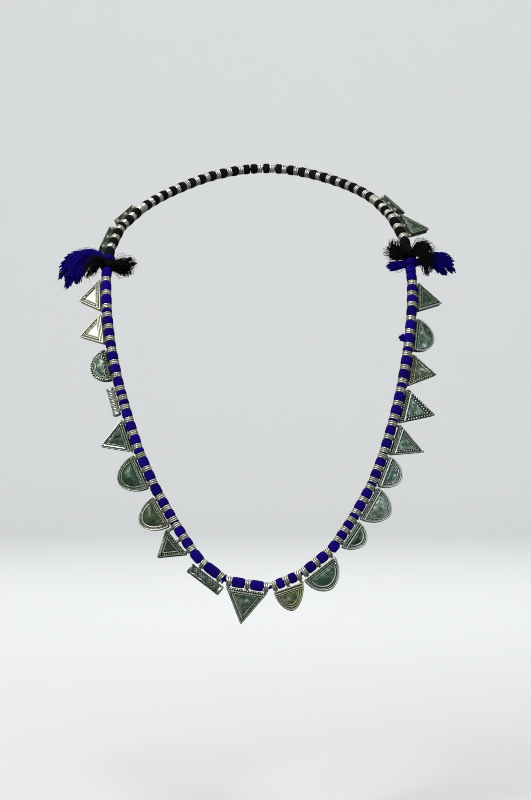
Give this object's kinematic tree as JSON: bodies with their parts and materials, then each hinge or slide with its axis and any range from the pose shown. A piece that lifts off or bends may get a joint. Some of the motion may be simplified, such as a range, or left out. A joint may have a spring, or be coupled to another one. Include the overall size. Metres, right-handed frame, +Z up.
{
  "type": "amulet necklace",
  "caption": "Folk necklace of silver amulet cases with ribbed rings and wound blue and black thread beads on a closed string, with thread tassels, in its worn shape.",
  "frame": {"origin": "Where the string rests on the nape of the neck, on the inner side of the string at the middle of the back.", "axes": "+X to the viewer's right when the necklace is seen from the front as worn, -Y to the front, +Z up"},
  "size_m": [0.2439, 0.1554, 0.2817],
  "materials": {
    "silver": "worn and tarnished silver alloy, sheet, wire and granules soldered together",
    "blue_thread": "dyed violet-blue cotton thread, wound and plied, slightly fuzzy",
    "black_thread": "black cotton thread, wound and plied, slightly fuzzy"
  },
  "bodies": {
    "string": {"back_triangle_left": "silver", "back_half_moon_left": "silver", "triangle_1": "silver", "triangle_2": "silver", "half_moon_1": "silver", "tube_1": "silver", "triangle_3": "silver", "half_moon_2": "silver", "half_moon_3": "silver", "triangle_4": "silver", "tube_2": "silver", "half_moon_4": "silver", "half_moon_5": "silver", "half_moon_6": "silver", "half_moon_7": "silver", "half_moon_8": "silver", "triangle_5": "silver", "triangle_6": "silver", "triangle_7": "silver", "half_moon_9": "silver", "triangle_8": "silver", "back_triangle_right": "silver", "back_half_moon_right": "silver", "front_thread": "blue_thread", "back_thread": "black_thread", "blue_thread_beads": "blue_thread", "black_thread_beads": "black_thread", "nape_rings": "silver", "left_blue_tassel": "blue_thread", "left_black_tassel": "black_thread", "right_blue_tassel": "blue_thread", "right_black_tassel": "black_thread"},
    "centre_amulet": {"centre_triangle": "silver"}
  },
  "joints": [
    {"name": "centre_swing", "type": "hinge", "parent": "string", "child": "centre_amulet", "pos_m": [-0.01037, -0.14388, -0.25547], "axis": [0.9875, -0.0151, -0.1567], "range_deg": [-80, 80]}
  ]
}
